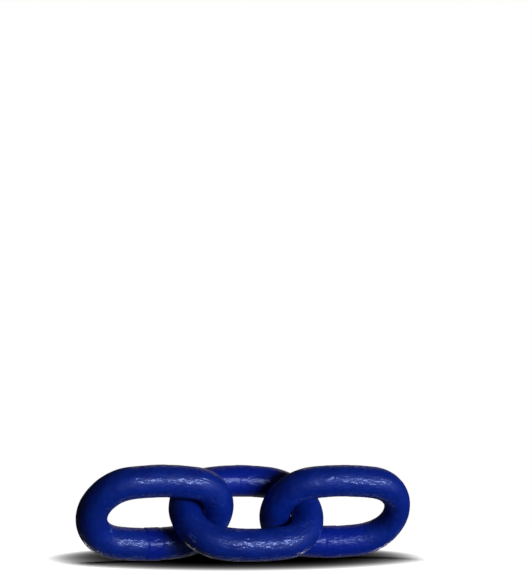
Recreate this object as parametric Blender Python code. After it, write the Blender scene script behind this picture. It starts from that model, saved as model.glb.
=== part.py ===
"""Three links of 13 mm short link lifting chain, lying on a level floor.

Each link is one round steel bar, bent into an oblong with two half-round bows and butt welded
in one of its legs. The middle link leans back and its two neighbours lean forward, so the three
prop each other. Each rests on a short level flat under the middle of its lower leg.

Metres, +Z up, +X along the chain. The origin is on the floor, under the middle of the chain.
An outer link swings in its own plane round the bow that it hangs on, and its parent empty stands
on the axis of that swing.
"""

import math
from collections import namedtuple

import bmesh
import bpy
from mathutils import Vector

# The link, as such chain is sold: the inner length is three bar diameters. Its legs bow outwards
# a little, so the hole is widest at their middle
BAR = 0.013
INNER_LENGTH = 3 * BAR
INNER_WIDTH = 0.0193
BOW_RADIUS = 0.01535
UPPER_LEG = 0.0128
LOWER_LEG = 0.0131

# The lie of the chain
LEAN = math.radians(51.5)
MIDDLE_X = 0.00068
MIDDLE_Y = 0.00131

# How finely the round bar is cut into flats. A leg has an odd number of steps, so that its
# middle one lies level on the floor
FLATS_ROUND_BAR = 24
STEPS_ROUND_BOW = 18
STEPS_ALONG_LEG = 5

BLUE_LACQUER = (0.001, 0.028, 0.240, 1.0)
LACQUER_ROUGHNESS = 0.38

# One row for each link: how far its centre lies from the middle link's, which way it heads and
# leans, how thick the bar stayed when its two bows were bent, and which bow of the middle link
# it swings on, -1 for the left one, 1 for the right one, 0 for the middle link itself
Link = namedtuple("Link", "name x y heading leans_forward left_bow right_bow swings_on")
LINKS = (
    Link("link_left", -0.03857, -0.00077, math.radians(2.0), True, 0.0124, 0.0124, -1),
    Link("link_middle", 0.0, 0.0, 0.0, False, 0.0129, 0.0129, 0),
    Link("link_right", 0.03824, -0.00201, math.radians(-5.4), True, 0.0124, 0.0106, 1),
)

# The middle of the bar runs round each bow on one arc and along each leg on a flatter one that
# meets it smoothly
CROWN = (INNER_LENGTH + BAR) / 2
HALF_WIDTH = (INNER_WIDTH + BAR) / 2
BOW_CENTRE = CROWN - BOW_RADIUS
LEG_RADIUS = (BOW_CENTRE**2 + HALF_WIDTH**2 - BOW_RADIUS**2) / (2 * (HALF_WIDTH - BOW_RADIUS))
LEG_CENTRE = LEG_RADIUS - HALF_WIDTH
LEG_TURN = math.atan2(BOW_CENTRE, LEG_CENTRE)


def arc(centre, radius, start, end, steps):
    """Points on an arc without its last one, each with the angle that faces outwards there."""
    turns = [start + (end - start) * step / steps for step in range(steps)]
    return [
        (centre[0] + radius * math.cos(turn), centre[1] + radius * math.sin(turn), turn)
        for turn in turns
    ]


def bar_line():
    """Points round the middle of the bar, as (along, across, outward angle)."""
    half, quarter = math.pi, math.pi / 2
    bow, leg = quarter - LEG_TURN, LEG_TURN
    right_bow = arc((BOW_CENTRE, 0), BOW_RADIUS, -bow, bow, STEPS_ROUND_BOW)
    upper_leg = arc((0, -LEG_CENTRE), LEG_RADIUS, quarter - leg, quarter + leg, STEPS_ALONG_LEG)
    left_bow = arc((-BOW_CENTRE, 0), BOW_RADIUS, half - bow, half + bow, STEPS_ROUND_BOW)
    lower_leg = arc((0, LEG_CENTRE), LEG_RADIUS, -quarter - leg, -quarter + leg, STEPS_ALONG_LEG)
    return right_bow + upper_leg + left_bow + lower_leg


def bar_radius(link, outward):
    """Half the bar's thickness there: full on the legs, drawn thinner round each bow."""
    bow = link.right_bow if math.cos(outward) > 0 else link.left_bow
    leg = LOWER_LEG + (UPPER_LEG - LOWER_LEG) * (1 + math.sin(outward)) / 2
    on_leg = math.sin(LEG_TURN)
    round_bow = (max(0.0, abs(math.cos(outward)) - on_leg) / (1 - on_leg)) ** 2
    return (leg + (bow - leg) * round_bow) / 2


def link_mesh(link):
    """The bent bar in its own plane: X along the link, Y across it towards its upper leg."""
    shape = bmesh.new()
    # A flat of the bar faces straight down once the link leans on its lower leg
    first_flat = (math.pi / 2 - LEAN) * (1 if link.leans_forward else -1)
    turn = 2 * math.pi / FLATS_ROUND_BAR
    rings = []
    for along, across, outward in bar_line():
        corner_radius = bar_radius(link, outward) / math.cos(turn / 2)
        out = Vector((math.cos(outward), math.sin(outward), 0))
        ring = []
        for corner in range(FLATS_ROUND_BAR):
            angle = first_flat + turn * (corner + 0.5)
            off = out * math.cos(angle) + Vector((0, 0, math.sin(angle)))
            ring.append(shape.verts.new(Vector((along, across, 0)) + off * corner_radius))
        rings.append(ring)
    for ring, after in zip(rings, rings[1:] + rings[:1]):
        for corner in range(FLATS_ROUND_BAR):
            beside = (corner + 1) % FLATS_ROUND_BAR
            shape.faces.new((ring[corner], after[corner], after[beside], ring[beside]))
    bmesh.ops.recalc_face_normals(shape, faces=shape.faces)
    mesh = bpy.data.meshes.new(link.name)
    shape.to_mesh(mesh)
    shape.free()
    mesh.shade_smooth()
    return mesh


def blue_lacquer(name):
    """Deep blue lacquer over steel."""
    material = bpy.data.materials.new(name)
    material.use_nodes = True
    surface = material.node_tree.nodes["Principled BSDF"]
    surface.inputs["Base Color"].default_value = BLUE_LACQUER
    surface.inputs["Roughness"].default_value = LACQUER_ROUGHNESS
    surface.inputs["Metallic"].default_value = 0.0
    return material


def lay_link(link):
    """Makes one link and sets it down, leaning, with the flat of its lower leg on the floor."""
    mesh = link_mesh(link)
    mesh.materials.append(blue_lacquer(link.name + "_lacquer"))
    laid = bpy.data.objects.new(link.name, mesh)
    bpy.context.scene.collection.objects.link(laid)
    laid.rotation_euler = (math.pi - LEAN if link.leans_forward else LEAN, 0.0, link.heading)
    turned = laid.rotation_euler.to_matrix()
    lowest = min((turned @ corner.co).z for corner in mesh.vertices)
    laid.location = (MIDDLE_X + link.x, MIDDLE_Y + link.y, -lowest)
    if link.swings_on:
        pivot = bpy.data.objects.new(link.name + "_swing", None)
        pivot.location = (MIDDLE_X + link.swings_on * CROWN, MIDDLE_Y, -lowest)
        pivot.empty_display_size = BAR
        bpy.context.scene.collection.objects.link(pivot)
        laid.parent = pivot
        laid.location = laid.location - pivot.location


def main():
    for old in list(bpy.data.objects):
        bpy.data.objects.remove(old, do_unlink=True)
    for link in LINKS:
        lay_link(link)


main()
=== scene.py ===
"""Looks of three links of short link lifting chain in deep blue lacquer.

Each link is built again round its CAD solid as the bent and welded bar that it is: round in
section, not quite true, with the collar of its butt weld and the skin of hot scale that shows
through the lacquer. Places are in metres in the frame's axes. The lacquer's patterns are in
millimetres along the bar and across it.
"""

import math
import random
from collections import namedtuple

import bpy
import numpy as np
from mathutils import Euler, Matrix, Vector, noise


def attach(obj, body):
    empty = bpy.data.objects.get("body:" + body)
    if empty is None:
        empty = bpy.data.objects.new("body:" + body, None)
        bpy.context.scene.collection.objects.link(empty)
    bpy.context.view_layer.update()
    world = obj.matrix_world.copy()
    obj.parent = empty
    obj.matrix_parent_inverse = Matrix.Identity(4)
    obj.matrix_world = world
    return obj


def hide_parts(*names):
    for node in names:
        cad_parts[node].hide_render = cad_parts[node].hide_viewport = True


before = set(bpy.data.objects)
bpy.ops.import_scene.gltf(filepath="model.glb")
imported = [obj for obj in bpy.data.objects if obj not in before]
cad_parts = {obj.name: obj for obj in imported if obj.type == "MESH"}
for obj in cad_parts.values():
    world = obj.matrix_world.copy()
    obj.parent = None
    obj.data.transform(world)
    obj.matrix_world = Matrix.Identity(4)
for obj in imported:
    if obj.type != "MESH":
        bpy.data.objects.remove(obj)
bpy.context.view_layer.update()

MM = 0.001

# The link, as in the part's source
BAR = 0.013
INNER_LENGTH = 3 * BAR
INNER_WIDTH = 0.0193
BOW_RADIUS = 0.01535
UPPER_LEG = 0.0128
LOWER_LEG = 0.0131
LEAN = math.radians(51.5)
MIDDLE_X = 0.00068
MIDDLE_Y = 0.00131

CROWN = (INNER_LENGTH + BAR) / 2
HALF_WIDTH = (INNER_WIDTH + BAR) / 2
BOW_CENTRE = CROWN - BOW_RADIUS
LEG_RADIUS = (BOW_CENTRE**2 + HALF_WIDTH**2 - BOW_RADIUS**2) / (2 * (HALF_WIDTH - BOW_RADIUS))
LEG_CENTRE = LEG_RADIUS - HALF_WIDTH
LEG_TURN = math.atan2(BOW_CENTRE, LEG_CENTRE)

# One row for each link: the CAD node that it replaces, the body that it rides on, how it lies,
# the bar's thickness at its bows, whether its weld is in the upper leg, how far the weld is from
# the middle of that leg, how high its collar stands, how far from it the heat has burnt the
# lacquer, which bows rub on a neighbour, and a number of its own for its marks
Link = namedtuple(
    "Link",
    "node body x y heading leans_forward left_bow right_bow"
    " weld_above weld_at collar burnt rubs seed",
)
LINKS = (
    Link("link_left", "left_link", -0.03857, -0.00077, math.radians(2.0), True,
         0.0124, 0.0124, False, 0.002, 0.00020, 0.005, (False, True), 1),
    Link("link_middle", "middle_link", 0.0, 0.0, 0.0, False,
         0.0129, 0.0129, True, 0.002, 0.00010, 0.014, (True, True), 2),
    Link("link_right", "right_link", 0.03824, -0.00201, math.radians(-5.4), True,
         0.0124, 0.0106, False, 0.0, 0.00016, 0.016, (True, False), 3),
)

# How finely the bar is meshed
STEPS_ROUND_BAR = 120
STEPS_ROUND_BOW = 140
STEPS_ALONG_LEG = 84

# The relief of the bar's skin. Each link starts somewhere else in the random lumps. The inside of
# each bow, where links rest in each other, is a little hollow and pressed smooth
SEED_SHIFT = Vector((17.3, 5.9, 11.1))
UNEVENNESS = 0.10 * MM
UNEVENNESS_SIZE = 9.0 * MM
HAMMERING = 0.045 * MM
HAMMERING_SIZE = 3.6 * MM
HAMMERING_SEED = 10
SCALE_DEPTH = 0.045 * MM
SCALE_SIZE = 1.3 * MM
SCALE_STRETCH = 2.2
SCALE_SEED = 20
BOW_HOLLOW = 0.3
BOW_SMOOTHING = 0.75

# The collar of the weld: its width and how sharp its edges are. As shares of its height, the
# groove at each edge, the fine ridge in its middle, and the flats that grinding left round it
WELD_WIDTH = 6.4 * MM
WELD_EDGE = 0.7 * MM
WELD_RIDGE_WIDTH = 0.5 * MM
WELD_GROOVE = 0.35
WELD_RIDGE = 0.15
GROUND_DEPTH = 0.25
GROUND_FLATS = 6

# Small dents: how many on each link, how deep the deepest is, the shallowest as a share of it,
# and how wide they are, in millimetres
DINGS = 9
DING_DEPTH = 0.12 * MM
SHALLOWEST_DING = 0.3
DING_WIDTHS = (0.6, 1.6)

# How far each link's surface pattern is from the one before
PATTERN_SHIFT = 3.19

# Where handling has scuffed the lacquer: the link, the outward angle and the turn round the bar
# of the scuff's middle, and its reach along the bar and round it
Scuff = namedtuple("Scuff", "node outward turn length width")
SCUFFS = (
    Scuff("link_left", math.radians(224), math.radians(157), math.radians(16), math.radians(24)),
    Scuff("link_middle", math.radians(222), math.radians(24), math.radians(14), math.radians(30)),
)

# Where two links rest in each other the lacquer has run together into a thick seam. One row for
# each side of such a seam: its link, how thick it is, the outward angle and the turn round the
# bar where its middle lies, and how much it slants
Seam = namedtuple("Seam", "node height outward turn slant")
SEAMS = (
    Seam("link_left", 0.30 * MM, math.radians(9), math.radians(-162), -0.8),
    Seam("link_middle", 0.45 * MM, math.radians(165), math.radians(168), -0.8),
    Seam("link_middle", 0.50 * MM, math.radians(-11), math.radians(-162), 0.8),
    Seam("link_right", 0.46 * MM, math.radians(-155), math.radians(-177), 0.8),
)
SEAM_LENGTH = math.radians(22)
SEAM_WIDTH = math.radians(18)

# The lacquer is a deep ultramarine stoving lacquer, sprayed thin over bar that was never
# polished: a soft sheen from its body, and on top a thin gloss that the scale beneath breaks up
# into flecks. Near the welds the heat has burnt the gloss off, and the body there is coloured
# lighter and towards violet: partly heat tint, partly a painted soft sheen
DEEP_BLUE = "#022E8E"
BRIGHT_BLUE = "#043A9C"
BURNT_BLUE_AND_SHEEN = "#10309C"
RUBBED_BLUE = "#8490C0"
LACQUER_IOR = 1.5
BODY_ROUGHNESS = 0.47
BURNT_ROUGHNESS = 0.34
GLOSS = 1.0
THIN_GLOSS = 0.05
GLOSS_IOR = 1.8
GLOSS_ROUGHNESS = 0.05

# The lacquer's patterns, in millimetres: the dimples of its thick skin, the grain of the scale
# beneath, the clouds and streaks of its colour and the breaks in its gloss. All but the clouds are
# drawn out along the bar, as it was drawn through its rolls
DRAWN_OUT = (0.45, 1.0, 1.0)
ORANGE_PEEL_SIZE = 2.4
ORANGE_PEEL_DEPTH = 0.15
SCALE_GRAIN_SIZE = 1.2
SCALE_GRAIN_DEPTH = 0.32
BODY_GRAIN = 0.4
CLOUD_SIZE = 6.0
STREAK_SIZE = 0.8
STREAK_DARKENS = 0.15
BREAK_SIZE = 0.9

# Between which heights of its noise a pattern goes from none to all
PATTERN_RISE = {"From Min": 0.35, "From Max": 0.65}
WEAR_RISE = {"From Min": 0.46, "From Max": 0.60}
BREAK_RISE = {"From Min": 0.44, "From Max": 0.58}

# The photograph's view: the camera stands low, a little to the left, and looks slightly up
CAMERA_PLACE = Vector((-0.23309, -0.66481, 0.03640))
CAMERA_HEADING = math.radians(19.97)
CAMERA_PITCH = math.radians(6.005)
CAMERA_LENS = 117.23
CAMERA_SENSOR = 36.0
CAMERA_NEAR = 0.01
CAMERA_FAR = 50

# The table, and the lens of painted shadow that lies on it, behind the chain's middle and to the left
TABLE_WHITE = "#E7E7E7"
TABLE_RADIUS = 3.0
TABLE_FADES_FROM = 0.2
TABLE_FADES_TO = 0.5
PAINTED_SHADOW_LENGTH = 0.162
PAINTED_SHADOW_WIDTH = 0.224
PAINTED_SHADOW_HEIGHT = 0.2 * MM
PAINTED_SHADOW_DENSITY = 2400.0
PAINTED_SHADOW_BACK = 0.036
PAINTED_SHADOW_LEFT = 0.005
ROUND_SIDES = 96
PAINTED_SHADOW_RINGS = 64

# One row for each light: where it stands, from an azimuth counted from -Y towards +X, its size,
# how bright its face is, its tint, and whether its face shows in the gloss
Softbox = namedtuple("Softbox", "name azimuth elevation distance width height brightness tint shows")
LINK_LIGHTS = (
    Softbox("window", 26, 5, 1.1, 0.80, 0.24, 5.9, "#9CB8FF", True),
    Softbox("tube_lamp", 26, 5, 1.1, 0.80, 0.03, 80.0, "#C4D0FF", True),
    Softbox("front_fill", 26, -30, 1.1, 0.8, 0.5, 1.3, "#B0C4FF", False),
    Softbox("back_wall", 150, 32, 1.4, 0.8, 1.2, 0.25, "#FFF0EC", True),
    Softbox("table_bounce", 160, -45, 1.2, 0.9, 1.2, 0.15, "#FFFFFF", True),
    Softbox("rim_left", 188, -32, 1.3, 0.30, 0.25, 2.5, "#FFFFFF", True),
    Softbox("rim_right", 134, -32, 1.3, 0.30, 0.25, 2.5, "#FFFFFF", True),
    Softbox("rear_fill", 190, 35, 1.3, 0.9, 0.6, 1.1, "#C8D4FF", False),
)
TABLE_LIGHT = Softbox("table_light", 0, 90, 1.0, 0.6, 2.0, 6.9, "#FFFFFF", True)
CHAIN_MIDDLE = Vector((0, 0, 0.02))
ROOM = 0.014


def set_camera():
    """The camera at the photograph's viewing angle."""
    camera = bpy.data.cameras.new("camera")
    camera.lens = CAMERA_LENS
    camera.sensor_width = CAMERA_SENSOR
    camera.sensor_fit = "HORIZONTAL"
    camera.clip_start = CAMERA_NEAR
    camera.clip_end = CAMERA_FAR
    stand = bpy.data.objects.new("camera", camera)
    stand.location = CAMERA_PLACE
    stand.rotation_euler = (math.pi / 2 + CAMERA_PITCH, 0, -CAMERA_HEADING)
    bpy.context.scene.collection.objects.link(stand)
    bpy.context.scene.camera = stand


def linear(hex_colour):
    """An sRGB hex colour as linear red, green, blue and alpha."""
    parts = [int(hex_colour[at : at + 2], 16) / 255 for at in (1, 3, 5)]
    return tuple(p / 12.92 if p <= 0.04045 else ((p + 0.055) / 1.055) ** 2.4 for p in parts) + (1,)


def new_material(name):
    """A material with nothing in it yet, and its node tree."""
    material = bpy.data.materials.new(name)
    material.use_nodes = True
    material.node_tree.nodes.clear()
    return material, material.node_tree


def add(tree, kind, settings=None, feeds=None):
    """Adds a shader node. Settings are its own choices, feeds are values or sockets for its inputs."""
    made = tree.nodes.new("ShaderNode" + kind)
    for name, value in (settings or {}).items():
        setattr(made, name, value)
    for name, value in (feeds or {}).items():
        if isinstance(value, bpy.types.NodeSocket):
            tree.links.new(value, made.inputs[name])
        else:
            made.inputs[name].default_value = value
    return made


def arc(centre, radius, start, end, steps):
    """Points on an arc without its last one: along, across, and the angle that faces outwards."""
    turn = np.linspace(start, end, steps, endpoint=False)
    return np.stack(
        (centre[0] + radius * np.cos(turn), centre[1] + radius * np.sin(turn), turn), axis=1
    )


def bar_line(link):
    """The middle of the bar, starting and ending at the weld, with its length from the weld."""
    half, quarter = math.pi, math.pi / 2
    bow, leg = quarter - LEG_TURN, LEG_TURN
    line = np.concatenate(
        (
            arc((BOW_CENTRE, 0), BOW_RADIUS, -bow, bow, STEPS_ROUND_BOW),
            arc((0, -LEG_CENTRE), LEG_RADIUS, quarter - leg, quarter + leg, STEPS_ALONG_LEG),
            arc((-BOW_CENTRE, 0), BOW_RADIUS, half - bow, half + bow, STEPS_ROUND_BOW),
            arc((0, LEG_CENTRE), LEG_RADIUS, -quarter - leg, -quarter + leg, STEPS_ALONG_LEG),
        )
    )
    # The ring nearest the weld, on its own leg
    other_leg = line[:, 1] < 0 if link.weld_above else line[:, 1] > 0
    weld = int(np.argmin(np.where(other_leg, np.inf, abs(line[:, 0] - link.weld_at))))
    line = np.roll(line, -weld, axis=0)
    steps = np.linalg.norm(np.roll(line[:, :2], -1, axis=0) - line[:, :2], axis=1)
    return line, np.concatenate(((0,), np.cumsum(steps)))


def bar_radius(link, outward):
    """Half the bar's thickness there: full on the legs, drawn thinner round each bow."""
    bow = np.where(np.cos(outward) > 0, link.right_bow, link.left_bow)
    leg = LOWER_LEG + (UPPER_LEG - LOWER_LEG) * (1 + np.sin(outward)) / 2
    on_leg = math.sin(LEG_TURN)
    round_bow = (np.clip(abs(np.cos(outward)) - on_leg, 0, None) / (1 - on_leg)) ** 2
    return (leg + (bow - leg) * round_bow) / 2


def lumps(places, size, octaves, seed):
    """A smooth random height, from about -1 to 1, at each place."""
    shift = SEED_SHIFT * seed
    heights = [
        noise.fractal(Vector(place) / size + shift, 1.0, 2.0, octaves)
        for place in places.reshape(-1, 3).tolist()
    ]
    return np.array(heights).reshape(places.shape[:-1])


def weld_collar(link, from_weld, turn):
    """The trimmed collar of a butt weld: a low flat-topped swelling with a groove at each edge."""
    edge = from_weld - WELD_WIDTH / 2
    swelling = 1 / (1 + np.exp(edge / (WELD_EDGE / 4)))
    groove = np.exp(-(((edge - WELD_EDGE) / WELD_EDGE) ** 2))
    ridge = np.exp(-((from_weld / WELD_RIDGE_WIDTH) ** 2))
    ground = 1 - GROUND_DEPTH + GROUND_DEPTH * np.cos(GROUND_FLATS * turn)
    return link.collar * (swelling * ground - WELD_GROOVE * groove + WELD_RIDGE * ridge)


def dings(places, seed):
    """Small dents from handling."""
    chance = random.Random(seed)
    depth = np.zeros(places.shape[:-1])
    flat = places.reshape(-1, 3)
    for _ in range(DINGS):
        middle = flat[chance.randrange(len(flat))]
        width = chance.uniform(*DING_WIDTHS) * MM
        apart = np.linalg.norm(places - middle, axis=-1)
        share = chance.uniform(SHALLOWEST_DING, 1)
        depth -= share * DING_DEPTH * np.exp(-((apart / width) ** 2))
    return depth


def angle_from(angle, middle):
    """How far an angle is from another, from minus a half turn to a half turn."""
    return (angle - middle + math.pi) % (2 * math.pi) - math.pi


def gathered_lacquer(link, outward, turn):
    """The seams of thick lacquer where the link rests in its neighbours."""
    height = np.zeros_like(outward + turn)
    for seam in SEAMS:
        if seam.node == link.node:
            along = angle_from(outward, seam.outward)
            across = angle_from(turn, seam.turn) - seam.slant * along
            height += seam.height * np.exp(-((along / SEAM_LENGTH) ** 2 + (across / SEAM_WIDTH) ** 2))
    return height


def scuffs(link, outward, turn):
    """Where the link is scuffed, from 0 to 1."""
    scuffed = np.zeros_like(outward + turn)
    for scuff in SCUFFS:
        if scuff.node == link.node:
            along = angle_from(outward, scuff.outward) / scuff.length
            across = angle_from(turn, scuff.turn) / scuff.width
            scuffed += np.exp(-(along**2 + across**2))
    return scuffed


def vectors(*parts):
    """Puts three arrays that fit each other together into one array of vectors."""
    return np.stack(np.broadcast_arrays(*parts), axis=-1)


def skin(link):
    """The link's surface points, where they are on the rolled bar, and the marks at each."""
    line, run = bar_line(link)
    outward = line[:, 2, None]
    turn = np.linspace(0, 2 * math.pi, STEPS_ROUND_BAR, endpoint=False)[None, :]
    radius = bar_radius(link, outward)
    off = vectors(np.cos(outward) * np.cos(turn), np.sin(outward) * np.cos(turn), np.sin(turn))
    centre = np.concatenate((line[:, :2], np.zeros((len(line), 1))), axis=1)[:, None, :]
    places = centre + off * radius[..., None]
    along = np.broadcast_to(run[:-1, None], (len(line), STEPS_ROUND_BAR))
    across, depth = radius * np.cos(turn), radius * np.sin(turn)
    rolled = vectors(along / SCALE_STRETCH, across, depth)
    from_weld = np.minimum(along, run[-1] - along)
    # Where a link can rest in this one, from 0 to 1, and where one does
    held = abs(np.cos(outward)) ** 3 * np.clip(-np.cos(turn), 0, 1) ** 2
    rubbed = held * np.where(np.cos(outward) > 0, link.rubs[1], link.rubs[0])
    relief = (
        UNEVENNESS * (lumps(places, UNEVENNESS_SIZE, 1, link.seed) - BOW_HOLLOW * held)
        + HAMMERING * lumps(places, HAMMERING_SIZE, 2, link.seed + HAMMERING_SEED)
        + SCALE_DEPTH * lumps(rolled, SCALE_SIZE, 2, link.seed + SCALE_SEED)
    ) * (1 - BOW_SMOOTHING * held)
    relief += weld_collar(link, from_weld, turn) + dings(places, link.seed)
    relief += gathered_lacquer(link, outward, turn)
    marks = {
        "rubbed": rubbed,
        "burnt": np.exp(-((from_weld / link.burnt) ** 4)),
        "scuffed": scuffs(link, outward, turn),
    }
    return places + off * relief[..., None], run, across, depth, marks


def at_corners(values):
    """What the points have, at the four corners of the face that starts at each of them."""
    onward = np.roll(values, -1, axis=0)
    return np.stack(
        (values, onward, np.roll(onward, -1, axis=1), np.roll(values, -1, axis=1)), axis=-1
    )


def link_mesh(link):
    """The bent bar in its own plane: X along the link, Y across it towards its upper leg."""
    places, run, across, depth, marks = skin(link)
    rings, corners = places.shape[:2]
    faces = at_corners(np.arange(rings * corners).reshape(rings, corners)).reshape(-1, 4)
    mesh = bpy.data.meshes.new(link.node + "_bar")
    mesh.from_pydata(places.reshape(-1, 3).tolist(), [], faces.tolist())
    # Where a point is on the rolled bar, in millimetres: along it from the weld, and on its round
    start, end = (np.broadcast_to(at[:, None], (rings, corners)) for at in (run[:-1], run[1:]))
    along = np.stack((start, end, end, start), axis=-1) + PATTERN_SHIFT * link.seed
    bar_place = vectors(along, at_corners(across), at_corners(depth)) / MM
    mesh.attributes.new("bar_place", "FLOAT_VECTOR", "CORNER").data.foreach_set(
        "vector", bar_place.reshape(-1).astype(np.float32)
    )
    for mark, strength in marks.items():
        mesh.attributes.new(mark, "FLOAT", "POINT").data.foreach_set(
            "value", np.broadcast_to(strength, (rings, corners)).reshape(-1).astype(np.float32)
        )
    mesh.shade_smooth()
    mesh.validate()
    return mesh


def blue_lacquer(name):
    """Deep blue lacquer over hot-scaled steel bar."""
    material, tree = new_material(name)
    place = add(tree, "Attribute", {"attribute_name": "bar_place"}).outputs["Vector"]
    burnt = add(tree, "Attribute", {"attribute_name": "burnt"}).outputs["Fac"]
    rubbed = add(tree, "Attribute", {"attribute_name": "rubbed"}).outputs["Fac"]
    scuffed = add(tree, "Attribute", {"attribute_name": "scuffed"}).outputs["Fac"]

    drawn = add(
        tree, "VectorMath", {"operation": "MULTIPLY"}, {0: place, 1: DRAWN_OUT}
    ).outputs["Vector"]
    peel = add(
        tree, "TexNoise", {}, {"Vector": drawn, "Scale": 1 / ORANGE_PEEL_SIZE, "Detail": 2}
    ).outputs["Fac"]
    grain = add(
        tree, "TexNoise", {}, {"Vector": drawn, "Scale": 1 / SCALE_GRAIN_SIZE, "Detail": 1}
    ).outputs["Fac"]
    clouds = add(
        tree, "TexNoise", {}, {"Vector": place, "Scale": 1 / CLOUD_SIZE, "Detail": 3}
    ).outputs["Fac"]
    streaks = add(
        tree, "TexNoise", {}, {"Vector": drawn, "Scale": 1 / STREAK_SIZE, "Detail": 4}
    ).outputs["Fac"]
    breaks = add(
        tree, "TexNoise", {}, {"Vector": drawn, "Scale": 1 / BREAK_SIZE, "Detail": 2}
    ).outputs["Fac"]

    # Cloudy and faintly streaked blue, lighter violet near the welds as heat tint and painted sheen,
    # and pale where worn
    cloudy = add(tree, "MapRange", {}, {"Value": clouds, **PATTERN_RISE}).outputs["Result"]
    blue = add(
        tree, "MixRGB", {}, {"Fac": cloudy, "Color1": linear(DEEP_BLUE), "Color2": linear(BRIGHT_BLUE)}
    ).outputs["Color"]
    streaky = add(
        tree, "MapRange", {}, {"Value": streaks, **PATTERN_RISE, "To Min": 1 - STREAK_DARKENS}
    ).outputs["Result"]
    mottled = add(
        tree, "VectorMath", {"operation": "SCALE"}, {"Vector": blue, "Scale": streaky}
    ).outputs["Vector"]
    # Near the welds the colour is a lighter violet: partly heat tint, partly a painted soft sheen
    burnt_and_painted_sheen = add(
        tree, "MixRGB", {}, {"Fac": burnt, "Color1": mottled, "Color2": linear(BURNT_BLUE_AND_SHEEN)}
    ).outputs["Color"]
    handled = add(tree, "Math", {"operation": "MAXIMUM"}, {0: rubbed, 1: scuffed}).outputs["Value"]
    worn = add(tree, "Math", {"operation": "MULTIPLY"}, {0: handled, 1: streaks}).outputs["Value"]
    patchy = add(tree, "MapRange", {}, {"Value": worn, **WEAR_RISE}).outputs["Result"]
    colour = add(
        tree, "MixRGB", {}, {"Fac": patchy, "Color1": burnt_and_painted_sheen, "Color2": linear(RUBBED_BLUE)}
    ).outputs["Color"]

    # A body with a soft sheen, and a broken gloss that is gone where the lacquer is burnt
    body_roughness = add(
        tree, "MapRange", {}, {"Value": burnt, "To Min": BODY_ROUGHNESS, "To Max": BURNT_ROUGHNESS}
    ).outputs["Result"]
    broken = add(
        tree, "MapRange", {}, {"Value": breaks, **BREAK_RISE, "To Min": THIN_GLOSS, "To Max": GLOSS}
    ).outputs["Result"]
    unburnt = add(tree, "Math", {"operation": "SUBTRACT"}, {0: 1.0, 1: burnt}).outputs["Value"]
    gloss = add(tree, "Math", {"operation": "MULTIPLY"}, {0: broken, 1: unburnt}).outputs["Value"]

    peel_bump = add(
        tree, "Bump", {}, {"Strength": 1.0, "Distance": ORANGE_PEEL_DEPTH * MM, "Height": peel}
    ).outputs["Normal"]
    grained = {"Distance": SCALE_GRAIN_DEPTH * MM, "Height": grain, "Normal": peel_bump}
    gloss_bump = add(tree, "Bump", {}, {"Strength": 1.0, **grained}).outputs["Normal"]
    body_bump = add(tree, "Bump", {}, {"Strength": BODY_GRAIN, **grained}).outputs["Normal"]

    surface = add(
        tree,
        "BsdfPrincipled",
        {},
        {
            "Base Color": colour,
            "Roughness": body_roughness,
            "IOR": LACQUER_IOR,
            "Normal": body_bump,
            "Coat Weight": gloss,
            "Coat Roughness": GLOSS_ROUGHNESS,
            "Coat IOR": GLOSS_IOR,
            "Coat Normal": gloss_bump,
        },
    ).outputs["BSDF"]
    add(tree, "OutputMaterial", {}, {"Surface": surface})
    return material


def lay_link(link):
    """Makes one link, sets it down where its solid lies and puts it in that solid's place."""
    mesh = link_mesh(link)
    mesh.materials.append(blue_lacquer(link.node + "_blue_lacquer"))
    tilt = math.pi - LEAN if link.leans_forward else LEAN
    mesh.transform(Euler((tilt, 0.0, link.heading)).to_matrix().to_4x4())
    lowest = min(point.co.z for point in mesh.vertices)
    mesh.transform(Matrix.Translation((MIDDLE_X + link.x, MIDDLE_Y + link.y, -lowest)))
    laid = bpy.data.objects.new(link.node + "_welded_bar", mesh)
    bpy.context.scene.collection.objects.link(laid)
    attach(laid, link.body)
    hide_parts(link.node)
    return laid


def white_table():
    """A matt white table that fades into the white background round the chain."""
    bpy.ops.mesh.primitive_circle_add(vertices=ROUND_SIDES, radius=TABLE_RADIUS, fill_type="NGON")
    table = bpy.context.object
    table.name = "white_table"
    # The lacquer doesn't see the table, so the lights below it reach the undersides of the links
    table.visible_shadow = False
    table.visible_diffuse = False
    table.visible_glossy = False
    material, tree = new_material("matt_white_table")
    place = add(tree, "TexCoord").outputs["Object"]
    far = add(tree, "VectorMath", {"operation": "LENGTH"}, {0: place}).outputs["Value"]
    fade = add(
        tree,
        "MapRange",
        {"interpolation_type": "SMOOTHSTEP"},
        {"Value": far, "From Min": TABLE_FADES_FROM, "From Max": TABLE_FADES_TO},
    ).outputs["Result"]
    matt = add(tree, "BsdfDiffuse", {}, {"Color": linear(TABLE_WHITE)}).outputs["BSDF"]
    clear = add(tree, "BsdfTransparent").outputs["BSDF"]
    faded = add(tree, "MixShader", {}, {0: fade, 1: matt, 2: clear}).outputs["Shader"]
    add(tree, "OutputMaterial", {}, {"Surface": faded})
    table.data.materials.append(material)
    return table


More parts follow.
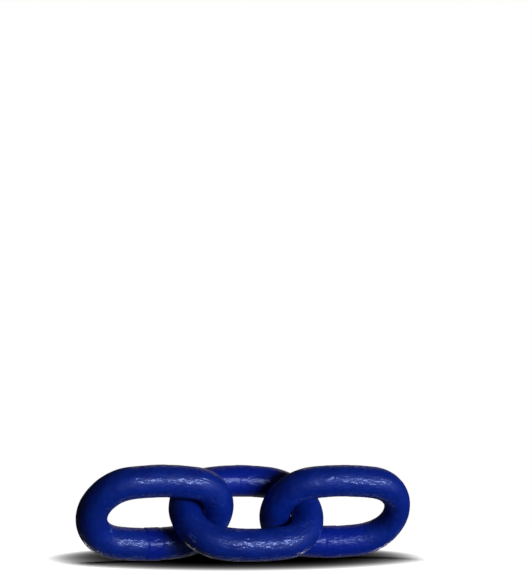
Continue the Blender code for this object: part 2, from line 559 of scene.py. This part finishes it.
def painted_shadow_lens():
    """A thin dark lens on the table under the chain, put there as a painted shadow: its pool of shade.

    One looks through much more of it along the table than from above.
    """
    bpy.ops.mesh.primitive_uv_sphere_add(segments=ROUND_SIDES, ring_count=PAINTED_SHADOW_RINGS, radius=1)
    lens = bpy.context.object
    lens.name = "painted_shadow_lens"
    # It thins out towards its rim
    for point in lens.data.vertices:
        point.co.z = point.co.z**3
    lens.scale = (PAINTED_SHADOW_LENGTH / 2, PAINTED_SHADOW_WIDTH / 2, PAINTED_SHADOW_HEIGHT)
    lens.rotation_euler = (0, 0, -CAMERA_HEADING)
    back = Vector((math.sin(CAMERA_HEADING), math.cos(CAMERA_HEADING), 0))
    left = Vector((-math.cos(CAMERA_HEADING), math.sin(CAMERA_HEADING), 0))
    lens.location = back * PAINTED_SHADOW_BACK + left * PAINTED_SHADOW_LEFT
    lens.visible_diffuse = False
    lens.visible_glossy = False
    # Painted shadow: a black absorbing volume that darkens the table round the chain
    material, tree = new_material("painted_shadow_absorber")
    dark = add(
        tree, "VolumeAbsorption", {}, {"Color": linear("#000000"), "Density": PAINTED_SHADOW_DENSITY}
    ).outputs["Volume"]
    add(tree, "OutputMaterial", {}, {"Volume": dark})
    lens.data.materials.append(material)


def softbox(box, lit_things):
    """Sets up a soft light that faces the chain and lights only the things given."""
    light = bpy.data.lights.new(box.name, "AREA")
    light.shape = "RECTANGLE"
    light.size = box.width
    light.size_y = box.height
    light.energy = box.brightness * math.pi * box.width * box.height
    light.color = linear(box.tint)[:3]
    stand = bpy.data.objects.new(box.name, light)
    a, e = math.radians(box.azimuth), math.radians(box.elevation)
    way = Vector((math.sin(a) * math.cos(e), -math.cos(a) * math.cos(e), math.sin(e)))
    stand.location = way * box.distance + CHAIN_MIDDLE
    stand.rotation_euler = way.to_track_quat("Z", "Y").to_euler()
    stand.visible_camera = False
    stand.visible_glossy = box.shows
    bpy.context.scene.collection.objects.link(stand)
    lit = bpy.data.collections.new(box.name + "_lights")
    for thing in lit_things:
        lit.objects.link(thing)
    stand.light_linking.receiver_collection = lit


def studio(links, table):
    """Plain soft light in a dim room, on white paper that only the camera sees.

    A low window with a tube lamp across it stands to the right of the camera. There are thin rims
    from below, dim walls behind, and a light above for the table alone.
    """
    for box in LINK_LIGHTS:
        softbox(box, links)
    softbox(TABLE_LIGHT, [table])
    world = bpy.data.worlds.new("white_room")
    bpy.context.scene.world = world
    world.use_nodes = True
    tree = world.node_tree
    tree.nodes.clear()
    white = linear("#FFFFFF")
    seen = add(tree, "LightPath").outputs["Is Camera Ray"]
    room = add(tree, "Background", {}, {"Color": white, "Strength": ROOM}).outputs["Background"]
    paper = add(tree, "Background", {}, {"Color": white, "Strength": 1.0}).outputs["Background"]
    both = add(tree, "MixShader", {}, {0: seen, 1: room, 2: paper}).outputs["Shader"]
    add(tree, "OutputWorld", {}, {"Surface": both})
    bpy.context.scene.view_settings.view_transform = "Standard"


set_camera()
links = [lay_link(link) for link in LINKS]
painted_shadow_lens()
studio(links, white_table())
